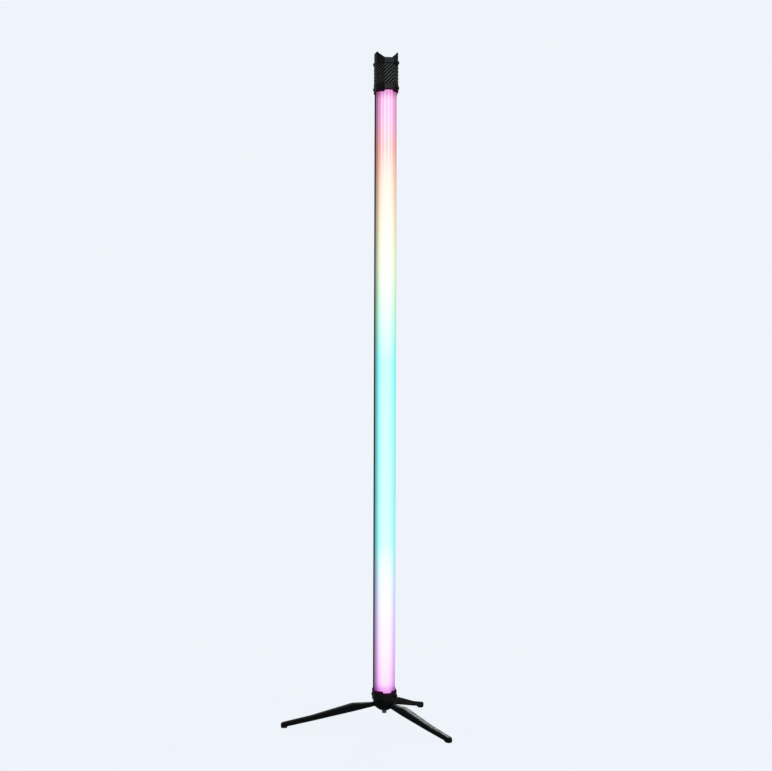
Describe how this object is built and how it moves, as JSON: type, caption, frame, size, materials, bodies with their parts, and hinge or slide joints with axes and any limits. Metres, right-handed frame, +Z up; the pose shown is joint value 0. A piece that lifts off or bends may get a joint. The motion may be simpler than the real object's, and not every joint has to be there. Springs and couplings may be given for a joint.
{
  "type": "led light tube",
  "caption": "Upright battery LED tube light with a round diffuser front, ribbed grip and forked crown, standing on a folding three-leg stand.",
  "frame": {"origin": "on the tube's axis at floor level, at the middle of the three feet", "axes": "+Z up along the tube, -Y the way the light shines, the first leg 7.8 degrees from -X towards +Y"},
  "size_m": [0.3117, 0.3335, 1.244],
  "materials": {
    "black_anodised": "satin black anodised extrusion",
    "frosted_diffuser": "frosted, translucent, lit from behind",
    "cap_plastic": "black moulded, fine grain",
    "core_plastic": "black moulded",
    "grip_rubber": "ribbed black rubber",
    "seal_rubber": "black rubber",
    "screw_black": "black oxide steel",
    "insert_brass": "turned brass",
    "board_white": "white solder mask on aluminium",
    "emitter": "LED packages with clear lens",
    "board_green": "green solder mask",
    "component": "electronic components",
    "cell_wrap": "shrink-wrapped cells",
    "nickel": "nickel strip",
    "cradle_plastic": "natural moulded plastic",
    "wire": "insulated wire",
    "panel_plastic": "black moulded",
    "window": "clear tinted window",
    "display": "dark display glass",
    "key_plastic": "grey moulded keys",
    "switch": "switch frames",
    "hub_cast": "black powder coat on cast aluminium",
    "leg_cast": "black powder coat on cast aluminium",
    "steel": "plated steel",
    "foot_rubber": "black rubber"
  },
  "bodies": {
    "stand_hub": {"hub_body": "hub_cast", "hub_pad": "foot_rubber", "leg_pins": "steel"},
    "light": {"back_housing": "black_anodised", "diffuser": "frosted_diffuser", "bottom_gasket": "seal_rubber", "top_gasket": "seal_rubber", "bottom_plug": "core_plastic", "bottom_collar": "cap_plastic", "bottom_thread_insert": "insert_brass", "bottom_collar_screws": "screw_black", "top_core": "core_plastic", "top_collar": "cap_plastic", "top_collar_screws": "screw_black", "grip_sleeve": "grip_rubber", "crown": "cap_plastic", "crown_screws": "screw_black", "top_thread_insert": "insert_brass", "led_board": "board_white", "led_emitters": "emitter", "battery_cells": "cell_wrap", "cell_links": "nickel", "battery_cradles": "cradle_plastic", "driver_board": "board_green", "driver_standoffs": "insert_brass", "driver_parts": "component", "battery_leads": "wire", "control_leads": "wire", "radio_board": "board_green", "control_panel": "panel_plastic", "control_board": "board_green", "panel_posts": "insert_brass", "tact_switches": "switch", "display_window": "window", "display_module": "display", "power_socket": "steel"},
    "clamp_screw": {"clamp_screw": "steel", "screw_clip": "steel"},
    "port_cover": {"port_cover": "seal_rubber"},
    "power_button": {"power_button": "key_plastic"},
    "mode_button": {"mode_button": "key_plastic"},
    "plus_button": {"plus_button": "key_plastic"},
    "minus_button": {"minus_button": "key_plastic"},
    "leg_1": {"leg_1": "leg_cast", "foot_1": "foot_rubber"},
    "leg_2": {"leg_2": "leg_cast", "foot_2": "foot_rubber"},
    "leg_3": {"leg_3": "leg_cast", "foot_3": "foot_rubber"}
  },
  "joints": [
    {"name": "light_pan", "type": "hinge", "parent": "stand_hub", "child": "light", "pos_m": [0, 0, 0.0485], "axis": [0, 0, 1], "continuous": true},
    {"name": "clamp_turn", "type": "hinge", "parent": "stand_hub", "child": "clamp_screw", "pos_m": [0, 0, 0.03], "axis": [0, 0, 1], "continuous": true},
    {"name": "leg_1_fold", "type": "hinge", "parent": "stand_hub", "child": "leg_1", "pos_m": [-0.01536, 0.0021, 0.0403], "axis": [-0.1357, -0.9907, 0], "range_deg": [0, 76]},
    {"name": "leg_2_fold", "type": "hinge", "parent": "stand_hub", "child": "leg_2", "pos_m": [0.00586, -0.01435, 0.0403], "axis": [0.9259, 0.3778, 0], "range_deg": [0, 76]},
    {"name": "leg_3_fold", "type": "hinge", "parent": "stand_hub", "child": "leg_3", "pos_m": [0.0095, 0.01225, 0.0403], "axis": [-0.7902, 0.6129, 0], "range_deg": [0, 76]},
    {"name": "power_press", "type": "slide", "parent": "light", "child": "power_button", "axis": [0, -1, 0], "range_m": [0, 0.0005], "stiffness_N_per_m": 2500},
    {"name": "mode_press", "type": "slide", "parent": "light", "child": "mode_button", "axis": [0, -1, 0], "range_m": [0, 0.0005], "stiffness_N_per_m": 2500},
    {"name": "plus_press", "type": "slide", "parent": "light", "child": "plus_button", "axis": [0, -1, 0], "range_m": [0, 0.0005], "stiffness_N_per_m": 2500},
    {"name": "minus_press", "type": "slide", "parent": "light", "child": "minus_button", "axis": [0, -1, 0], "range_m": [0, 0.0005], "stiffness_N_per_m": 2500},
    {"name": "port_cover_open", "type": "hinge", "parent": "light", "child": "port_cover", "pos_m": [0, 0.0204, 1.0657], "axis": [-1, 0, 0], "range_deg": [0, 110]}
  ]
}
